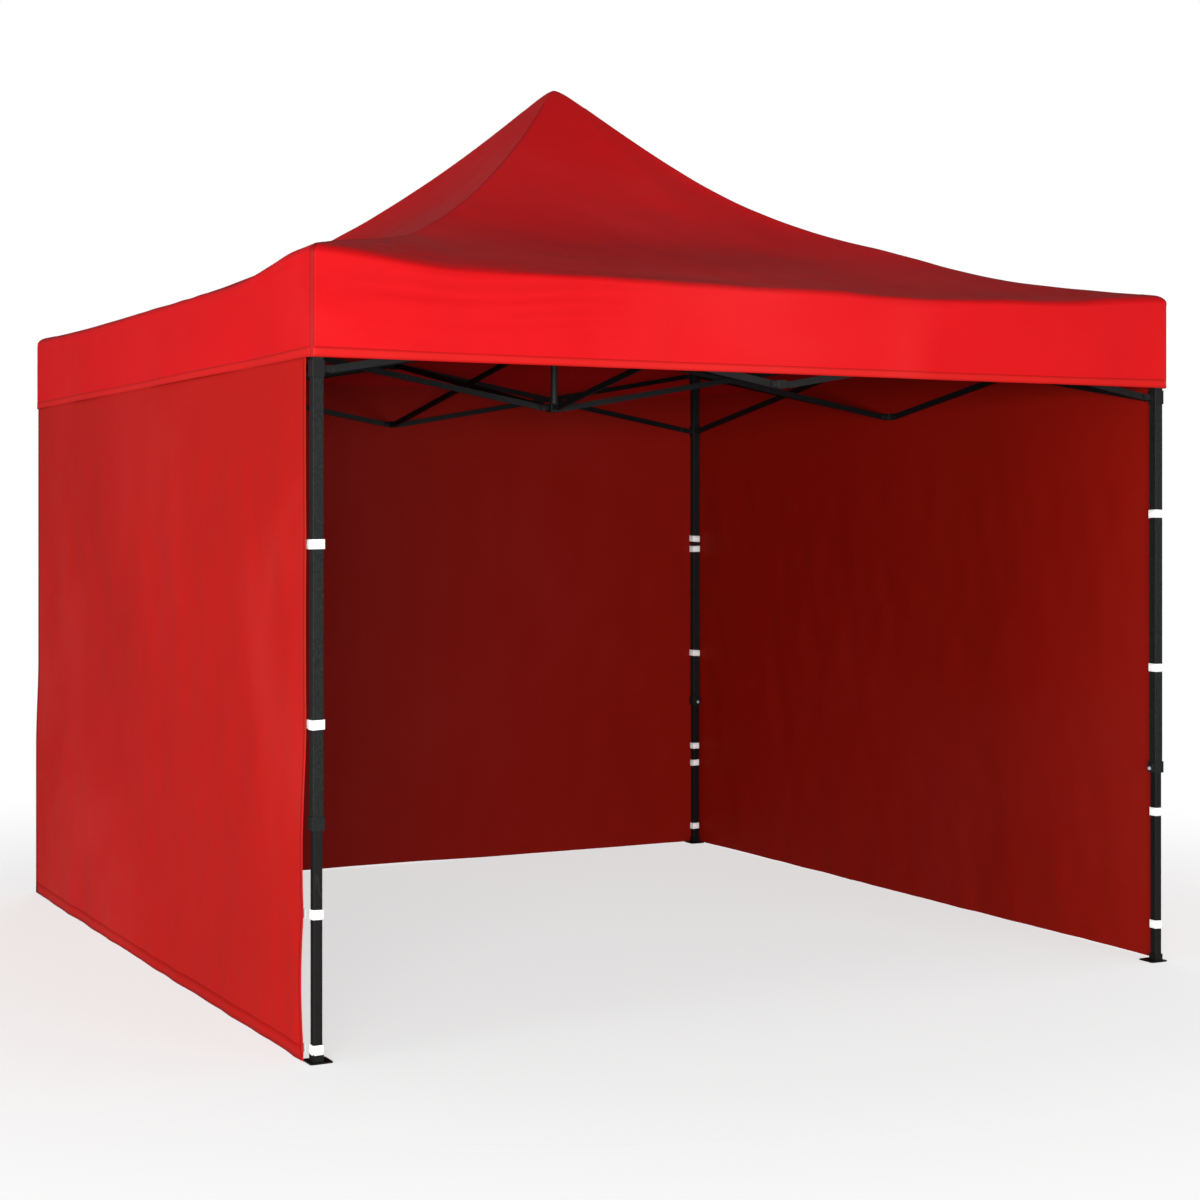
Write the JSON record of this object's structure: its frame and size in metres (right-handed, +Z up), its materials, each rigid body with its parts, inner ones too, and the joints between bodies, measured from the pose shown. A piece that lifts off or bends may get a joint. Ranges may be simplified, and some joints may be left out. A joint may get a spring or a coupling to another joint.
{
  "type": "pop up canopy",
  "caption": "Square pop up canopy: folding scissor frame on telescopic legs, peaked cloth roof with a valance, and cloth walls on three sides.",
  "frame": {"origin": "on the ground under the peak", "axes": "+Z up, -Y out of the open front, +X to the right as seen from in front"},
  "size_m": [2.958, 2.958, 2.9547],
  "materials": {
    "roof_cloth": "coated polyester, satin",
    "wall_cloth": "coated polyester, matte",
    "leg_steel": "hammered grey powder coat",
    "bar_steel": "dark powder coat",
    "bracket": "moulded",
    "button": "moulded",
    "pole": "grey powder coat"
  },
  "bodies": {
    "top_hub": {"top_hub": "bracket"},
    "lower_hub": {"lower_hub": "bracket"},
    "mast": {"centre_pole": "pole"},
    "cross_top_front": {"cross_bar_from_top_hub_front": "bar_steel"},
    "cross_low_front": {"cross_bar_from_lower_hub_front": "bar_steel"},
    "middle_top_front": {"middle_bracket_top_front": "bracket"},
    "middle_low_front": {"middle_bracket_low_front": "bracket"},
    "roof_front": {"roof_panel_front": "roof_cloth"},
    "side_inner_front_right": {"side_bar_inner_front_right": "bar_steel"},
    "side_outer_front_right": {"side_bar_outer_front_right": "bar_steel"},
    "slider_front_right": {"leg_slider_front_right": "bracket"},
    "leg_front_right": {"outer_leg_front_right": "leg_steel"},
    "inner_leg_front_right": {"inner_leg_front_right": "leg_steel"},
    "button_front_right": {"leg_button_front_right": "button"},
    "side_inner_front_left": {"side_bar_inner_front_left": "bar_steel"},
    "side_outer_front_left": {"side_bar_outer_front_left": "bar_steel"},
    "cross_top_right": {"cross_bar_from_top_hub_right": "bar_steel"},
    "cross_low_right": {"cross_bar_from_lower_hub_right": "bar_steel"},
    "middle_top_right": {"middle_bracket_top_right": "bracket", "side_wall_right": "wall_cloth"},
    "middle_low_right": {"middle_bracket_low_right": "bracket"},
    "roof_right": {"roof_panel_right": "roof_cloth"},
    "side_inner_right_right": {"side_bar_inner_right_right": "bar_steel"},
    "side_outer_right_right": {"side_bar_outer_right_right": "bar_steel"},
    "slider_back_right": {"leg_slider_back_right": "bracket"},
    "leg_back_right": {"outer_leg_back_right": "leg_steel"},
    "inner_leg_back_right": {"inner_leg_back_right": "leg_steel"},
    "button_back_right": {"leg_button_back_right": "button"},
    "side_inner_right_left": {"side_bar_inner_right_left": "bar_steel"},
    "side_outer_right_left": {"side_bar_outer_right_left": "bar_steel"},
    "cross_top_back": {"cross_bar_from_top_hub_back": "bar_steel"},
    "cross_low_back": {"cross_bar_from_lower_hub_back": "bar_steel"},
    "middle_top_back": {"middle_bracket_top_back": "bracket", "side_wall_back": "wall_cloth"},
    "middle_low_back": {"middle_bracket_low_back": "bracket"},
    "roof_back": {"roof_panel_back": "roof_cloth"},
    "side_inner_back_right": {"side_bar_inner_back_right": "bar_steel"},
    "side_outer_back_right": {"side_bar_outer_back_right": "bar_steel"},
    "slider_back_left": {"leg_slider_back_left": "bracket"},
    "leg_back_left": {"outer_leg_back_left": "leg_steel"},
    "inner_leg_back_left": {"inner_leg_back_left": "leg_steel"},
    "button_back_left": {"leg_button_back_left": "button"},
    "side_inner_back_left": {"side_bar_inner_back_left": "bar_steel"},
    "side_outer_back_left": {"side_bar_outer_back_left": "bar_steel"},
    "cross_top_left": {"cross_bar_from_top_hub_left": "bar_steel"},
    "cross_low_left": {"cross_bar_from_lower_hub_left": "bar_steel"},
    "middle_top_left": {"middle_bracket_top_left": "bracket", "side_wall_left": "wall_cloth"},
    "middle_low_left": {"middle_bracket_low_left": "bracket"},
    "roof_left": {"roof_panel_left": "roof_cloth"},
    "side_inner_left_right": {"side_bar_inner_left_right": "bar_steel"},
    "side_outer_left_right": {"side_bar_outer_left_right": "bar_steel"},
    "slider_front_left": {"leg_slider_front_left": "bracket"},
    "leg_front_left": {"outer_leg_front_left": "leg_steel"},
    "inner_leg_front_left": {"inner_leg_front_left": "leg_steel"},
    "button_front_left": {"leg_button_front_left": "button"},
    "side_inner_left_left": {"side_bar_inner_left_left": "bar_steel"},
    "side_outer_left_left": {"side_bar_outer_left_left": "bar_steel"}
  },
  "joints": [
    {"name": "fold", "type": "hinge", "parent": "top_hub", "child": "cross_top_front", "pos_m": [0.0065, -0.045, 2.068], "axis": [1, 0, 0], "range_deg": [0, 77.1], "deforming": ["roof_panel_front", "roof_panel_right", "roof_panel_back", "roof_panel_left", "side_wall_right", "side_wall_back", "side_wall_left"]},
    {"name": "middle_low_front_turn", "type": "hinge", "parent": "cross_top_front", "child": "middle_low_front", "pos_m": [0.0065, -1.42, 1.828], "axis": [1, 0, 0], "range_deg": [-78.1, 1]},
    {"name": "cross_low_front_turn", "type": "hinge", "parent": "cross_top_front", "child": "cross_low_front", "pos_m": [0, -0.7325, 1.948], "axis": [1, 0, 0], "range_deg": [-155.2, 1]},
    {"name": "middle_top_front_turn", "type": "hinge", "parent": "cross_low_front", "child": "middle_top_front", "pos_m": [-0.0065, -1.42, 2.068], "axis": [1, 0, 0], "range_deg": [-1, 78.1]},
    {"name": "lower_hub_turn", "type": "hinge", "parent": "cross_low_front", "child": "lower_hub", "pos_m": [-0.0065, -0.045, 1.828], "axis": [1, 0, 0], "range_deg": [-1, 78.1]},
    {"name": "roof_front_turn", "type": "hinge", "parent": "middle_top_front", "child": "roof_front", "pos_m": [0, -1.422, 2.14], "axis": [-1, 0, 0], "range_deg": [-1, 108.17]},
    {"name": "side_inner_front_right_turn", "type": "hinge", "parent": "middle_top_front", "child": "side_inner_front_right", "pos_m": [0.03, -1.4435, 2.068], "axis": [0, 1, 0], "range_deg": [-1, 78.1]},
    {"name": "side_outer_front_right_turn", "type": "hinge", "parent": "side_inner_front_right", "child": "side_outer_front_right", "pos_m": [0.7175, -1.45, 1.948], "axis": [0, 1, 0], "range_deg": [-155.2, 1]},
    {"name": "slider_front_right_turn", "type": "hinge", "parent": "side_inner_front_right", "child": "slider_front_right", "pos_m": [1.405, -1.4435, 1.828], "axis": [0, 1, 0], "range_deg": [-78.1, 1]},
    {"name": "leg_front_right_turn", "type": "hinge", "parent": "side_outer_front_right", "child": "leg_front_right", "pos_m": [1.405, -1.4565, 2.068], "axis": [0, 1, 0], "range_deg": [-1, 78.1]},
    {"name": "leg_slide_front_right", "type": "slide", "parent": "leg_front_right", "child": "inner_leg_front_right", "axis": [0, 0, 1], "range_m": [0, 0.53]},
    {"name": "button_front_right_press", "type": "slide", "parent": "leg_front_right", "child": "button_front_right", "axis": [1, 0, 0], "range_m": [0, 0.0035], "stiffness_N_per_m": 800, "springref_m": -0.002},
    {"name": "side_inner_front_left_turn", "type": "hinge", "parent": "middle_top_front", "child": "side_inner_front_left", "pos_m": [-0.03, -1.4435, 2.068], "axis": [0, -1, 0], "range_deg": [-1, 78.1]},
    {"name": "side_outer_front_left_turn", "type": "hinge", "parent": "side_inner_front_left", "child": "side_outer_front_left", "pos_m": [-0.7175, -1.45, 1.948], "axis": [0, -1, 0], "range_deg": [-155.2, 1]},
    {"name": "cross_top_right_turn", "type": "hinge", "parent": "top_hub", "child": "cross_top_right", "pos_m": [0.045, 0.0065, 2.068], "axis": [0, 1, 0], "range_deg": [-1, 78.1]},
    {"name": "middle_low_right_turn", "type": "hinge", "parent": "cross_top_right", "child": "middle_low_right", "pos_m": [1.42, 0.0065, 1.828], "axis": [0, 1, 0], "range_deg": [-78.1, 1]},
    {"name": "cross_low_right_turn", "type": "hinge", "parent": "cross_top_right", "child": "cross_low_right", "pos_m": [0.7325, 0, 1.948], "axis": [0, 1, 0], "range_deg": [-155.2, 1]},
    {"name": "middle_top_right_turn", "type": "hinge", "parent": "cross_low_right", "child": "middle_top_right", "pos_m": [1.42, -0.0065, 2.068], "axis": [0, 1, 0], "range_deg": [-1, 78.1]},
    {"name": "roof_right_turn", "type": "hinge", "parent": "middle_top_right", "child": "roof_right", "pos_m": [1.422, 0, 2.14], "axis": [0, -1, 0], "range_deg": [-1, 108.17]},
    {"name": "side_inner_right_right_turn", "type": "hinge", "parent": "middle_top_right", "child": "side_inner_right_right", "pos_m": [1.4435, 0.03, 2.068], "axis": [-1, 0, 0], "range_deg": [-1, 78.1]},
    {"name": "side_outer_right_right_turn", "type": "hinge", "parent": "side_inner_right_right", "child": "side_outer_right_right", "pos_m": [1.45, 0.7175, 1.948], "axis": [-1, 0, 0], "range_deg": [-155.2, 1]},
    {"name": "slider_back_right_turn", "type": "hinge", "parent": "side_inner_right_right", "child": "slider_back_right", "pos_m": [1.4435, 1.405, 1.828], "axis": [-1, 0, 0], "range_deg": [-78.1, 1]},
    {"name": "leg_back_right_turn", "type": "hinge", "parent": "side_outer_right_right", "child": "leg_back_right", "pos_m": [1.4565, 1.405, 2.068], "axis": [-1, 0, 0], "range_deg": [-1, 78.1]},
    {"name": "leg_slide_back_right", "type": "slide", "parent": "leg_back_right", "child": "inner_leg_back_right", "axis": [0, 0, 1], "range_m": [0, 0.53]},
    {"name": "button_back_right_press", "type": "slide", "parent": "leg_back_right", "child": "button_back_right", "axis": [0, 1, 0], "range_m": [0, 0.0035], "stiffness_N_per_m": 800, "springref_m": -0.002},
    {"name": "side_inner_right_left_turn", "type": "hinge", "parent": "middle_top_right", "child": "side_inner_right_left", "pos_m": [1.4435, -0.03, 2.068], "axis": [1, 0, 0], "range_deg": [-1, 78.1]},
    {"name": "side_outer_right_left_turn", "type": "hinge", "parent": "side_inner_right_left", "child": "side_outer_right_left", "pos_m": [1.45, -0.7175, 1.948], "axis": [1, 0, 0], "range_deg": [-155.2, 1]},
    {"name": "cross_top_back_turn", "type": "hinge", "parent": "top_hub", "child": "cross_top_back", "pos_m": [-0.0065, 0.045, 2.068], "axis": [-1, 0, 0], "range_deg": [-1, 78.1]},
    {"name": "middle_low_back_turn", "type": "hinge", "parent": "cross_top_back", "child": "middle_low_back", "pos_m": [-0.0065, 1.42, 1.828], "axis": [-1, 0, 0], "range_deg": [-78.1, 1]},
    {"name": "cross_low_back_turn", "type": "hinge", "parent": "cross_top_back", "child": "cross_low_back", "pos_m": [0, 0.7325, 1.948], "axis": [-1, 0, 0], "range_deg": [-155.2, 1]},
    {"name": "middle_top_back_turn", "type": "hinge", "parent": "cross_low_back", "child": "middle_top_back", "pos_m": [0.0065, 1.42, 2.068], "axis": [-1, 0, 0], "range_deg": [-1, 78.1]},
    {"name": "roof_back_turn", "type": "hinge", "parent": "middle_top_back", "child": "roof_back", "pos_m": [0, 1.422, 2.14], "axis": [1, 0, 0], "range_deg": [-1, 108.17]},
    {"name": "side_inner_back_right_turn", "type": "hinge", "parent": "middle_top_back", "child": "side_inner_back_right", "pos_m": [-0.03, 1.4435, 2.068], "axis": [0, -1, 0], "range_deg": [-1, 78.1]},
    {"name": "side_outer_back_right_turn", "type": "hinge", "parent": "side_inner_back_right", "child": "side_outer_back_right", "pos_m": [-0.7175, 1.45, 1.948], "axis": [0, -1, 0], "range_deg": [-155.2, 1]},
    {"name": "slider_back_left_turn", "type": "hinge", "parent": "side_inner_back_right", "child": "slider_back_left", "pos_m": [-1.405, 1.4435, 1.828], "axis": [0, -1, 0], "range_deg": [-78.1, 1]},
    {"name": "leg_back_left_turn", "type": "hinge", "parent": "side_outer_back_right", "child": "leg_back_left", "pos_m": [-1.405, 1.4565, 2.068], "axis": [0, -1, 0], "range_deg": [-1, 78.1]},
    {"name": "leg_slide_back_left", "type": "slide", "parent": "leg_back_left", "child": "inner_leg_back_left", "axis": [0, 0, 1], "range_m": [0, 0.53]},
    {"name": "button_back_left_press", "type": "slide", "parent": "leg_back_left", "child": "button_back_left", "axis": [-1, 0, 0], "range_m": [0, 0.0035], "stiffness_N_per_m": 800, "springref_m": -0.002},
    {"name": "side_inner_back_left_turn", "type": "hinge", "parent": "middle_top_back", "child": "side_inner_back_left", "pos_m": [0.03, 1.4435, 2.068], "axis": [0, 1, 0], "range_deg": [-1, 78.1]},
    {"name": "side_outer_back_left_turn", "type": "hinge", "parent": "side_inner_back_left", "child": "side_outer_back_left", "pos_m": [0.7175, 1.45, 1.948], "axis": [0, 1, 0], "range_deg": [-155.2, 1]},
    {"name": "cross_top_left_turn", "type": "hinge", "parent": "top_hub", "child": "cross_top_left", "pos_m": [-0.045, -0.0065, 2.068], "axis": [0, -1, 0], "range_deg": [-1, 78.1]},
    {"name": "middle_low_left_turn", "type": "hinge", "parent": "cross_top_left", "child": "middle_low_left", "pos_m": [-1.42, -0.0065, 1.828], "axis": [0, -1, 0], "range_deg": [-78.1, 1]},
    {"name": "cross_low_left_turn", "type": "hinge", "parent": "cross_top_left", "child": "cross_low_left", "pos_m": [-0.7325, 0, 1.948], "axis": [0, -1, 0], "range_deg": [-155.2, 1]},
    {"name": "middle_top_left_turn", "type": "hinge", "parent": "cross_low_left", "child": "middle_top_left", "pos_m": [-1.42, 0.0065, 2.068], "axis": [0, -1, 0], "range_deg": [-1, 78.1]},
    {"name": "roof_left_turn", "type": "hinge", "parent": "middle_top_left", "child": "roof_left", "pos_m": [-1.422, 0, 2.14], "axis": [0, 1, 0], "range_deg": [-1, 108.17]},
    {"name": "side_inner_left_right_turn", "type": "hinge", "parent": "middle_top_left", "child": "side_inner_left_right", "pos_m": [-1.4435, -0.03, 2.068], "axis": [1, 0, 0], "range_deg": [-1, 78.1]},
    {"name": "side_outer_left_right_turn", "type": "hinge", "parent": "side_inner_left_right", "child": "side_outer_left_right", "pos_m": [-1.45, -0.7175, 1.948], "axis": [1, 0, 0], "range_deg": [-155.2, 1]},
    {"name": "slider_front_left_turn", "type": "hinge", "parent": "side_inner_left_right", "child": "slider_front_left", "pos_m": [-1.4435, -1.405, 1.828], "axis": [1, 0, 0], "range_deg": [-78.1, 1]},
    {"name": "leg_front_left_turn", "type": "hinge", "parent": "side_outer_left_right", "child": "leg_front_left", "pos_m": [-1.4565, -1.405, 2.068], "axis": [1, 0, 0], "range_deg": [-1, 78.1]},
    {"name": "leg_slide_front_left", "type": "slide", "parent": "leg_front_left", "child": "inner_leg_front_left", "axis": [0, 0, 1], "range_m": [0, 0.53]},
    {"name": "button_front_left_press", "type": "slide", "parent": "leg_front_left", "child": "button_front_left", "axis": [0, -1, 0], "range_m": [0, 0.0035], "stiffness_N_per_m": 800, "springref_m": -0.002},
    {"name": "side_inner_left_left_turn", "type": "hinge", "parent": "middle_top_left", "child": "side_inner_left_left", "pos_m": [-1.4435, 0.03, 2.068], "axis": [-1, 0, 0], "range_deg": [-1, 78.1]},
    {"name": "side_outer_left_left_turn", "type": "hinge", "parent": "side_inner_left_left", "child": "side_outer_left_left", "pos_m": [-1.45, 0.7175, 1.948], "axis": [-1, 0, 0], "range_deg": [-155.2, 1]},
    {"name": "mast_slide", "type": "slide", "parent": "top_hub", "child": "mast", "axis": [0, 0, -1], "range_m": [-0.005, 0.81]}
  ],
  "couplings": [
    {"joint": "middle_low_front_turn", "follows": "fold", "ratio": -1},
    {"joint": "cross_low_front_turn", "follows": "fold", "ratio": -2},
    {"joint": "middle_top_front_turn", "follows": "fold", "ratio": 1},
    {"joint": "lower_hub_turn", "follows": "fold", "ratio": 1},
    {"joint": "roof_front_turn", "follows": "fold", "ratio": 1.39},
    {"joint": "side_inner_front_right_turn", "follows": "fold", "ratio": 1},
    {"joint": "side_outer_front_right_turn", "follows": "fold", "ratio": -2},
    {"joint": "slider_front_right_turn", "follows": "fold", "ratio": -1},
    {"joint": "leg_front_right_turn", "follows": "fold", "ratio": 1},
    {"joint": "side_inner_front_left_turn", "follows": "fold", "ratio": 1},
    {"joint": "side_outer_front_left_turn", "follows": "fold", "ratio": -2},
    {"joint": "cross_top_right_turn", "follows": "fold", "ratio": 1},
    {"joint": "middle_low_right_turn", "follows": "fold", "ratio": -1},
    {"joint": "cross_low_right_turn", "follows": "fold", "ratio": -2},
    {"joint": "middle_top_right_turn", "follows": "fold", "ratio": 1},
    {"joint": "roof_right_turn", "follows": "fold", "ratio": 1.39},
    {"joint": "side_inner_right_right_turn", "follows": "fold", "ratio": 1},
    {"joint": "side_outer_right_right_turn", "follows": "fold", "ratio": -2},
    {"joint": "slider_back_right_turn", "follows": "fold", "ratio": -1},
    {"joint": "leg_back_right_turn", "follows": "fold", "ratio": 1},
    {"joint": "side_inner_right_left_turn", "follows": "fold", "ratio": 1},
    {"joint": "side_outer_right_left_turn", "follows": "fold", "ratio": -2},
    {"joint": "cross_top_back_turn", "follows": "fold", "ratio": 1},
    {"joint": "middle_low_back_turn", "follows": "fold", "ratio": -1},
    {"joint": "cross_low_back_turn", "follows": "fold", "ratio": -2},
    {"joint": "middle_top_back_turn", "follows": "fold", "ratio": 1},
    {"joint": "roof_back_turn", "follows": "fold", "ratio": 1.39},
    {"joint": "side_inner_back_right_turn", "follows": "fold", "ratio": 1},
    {"joint": "side_outer_back_right_turn", "follows": "fold", "ratio": -2},
    {"joint": "slider_back_left_turn", "follows": "fold", "ratio": -1},
    {"joint": "leg_back_left_turn", "follows": "fold", "ratio": 1},
    {"joint": "side_inner_back_left_turn", "follows": "fold", "ratio": 1},
    {"joint": "side_outer_back_left_turn", "follows": "fold", "ratio": -2},
    {"joint": "cross_top_left_turn", "follows": "fold", "ratio": 1},
    {"joint": "middle_low_left_turn", "follows": "fold", "ratio": -1},
    {"joint": "cross_low_left_turn", "follows": "fold", "ratio": -2},
    {"joint": "middle_top_left_turn", "follows": "fold", "ratio": 1},
    {"joint": "roof_left_turn", "follows": "fold", "ratio": 1.39},
    {"joint": "side_inner_left_right_turn", "follows": "fold", "ratio": 1},
    {"joint": "side_outer_left_right_turn", "follows": "fold", "ratio": -2},
    {"joint": "slider_front_left_turn", "follows": "fold", "ratio": -1},
    {"joint": "leg_front_left_turn", "follows": "fold", "ratio": 1},
    {"joint": "side_inner_left_left_turn", "follows": "fold", "ratio": 1},
    {"joint": "side_outer_left_left_turn", "follows": "fold", "ratio": -2},
    {"joint": "mast_slide", "follows": "fold", "m_per_rad": 0.5945}
  ]
}
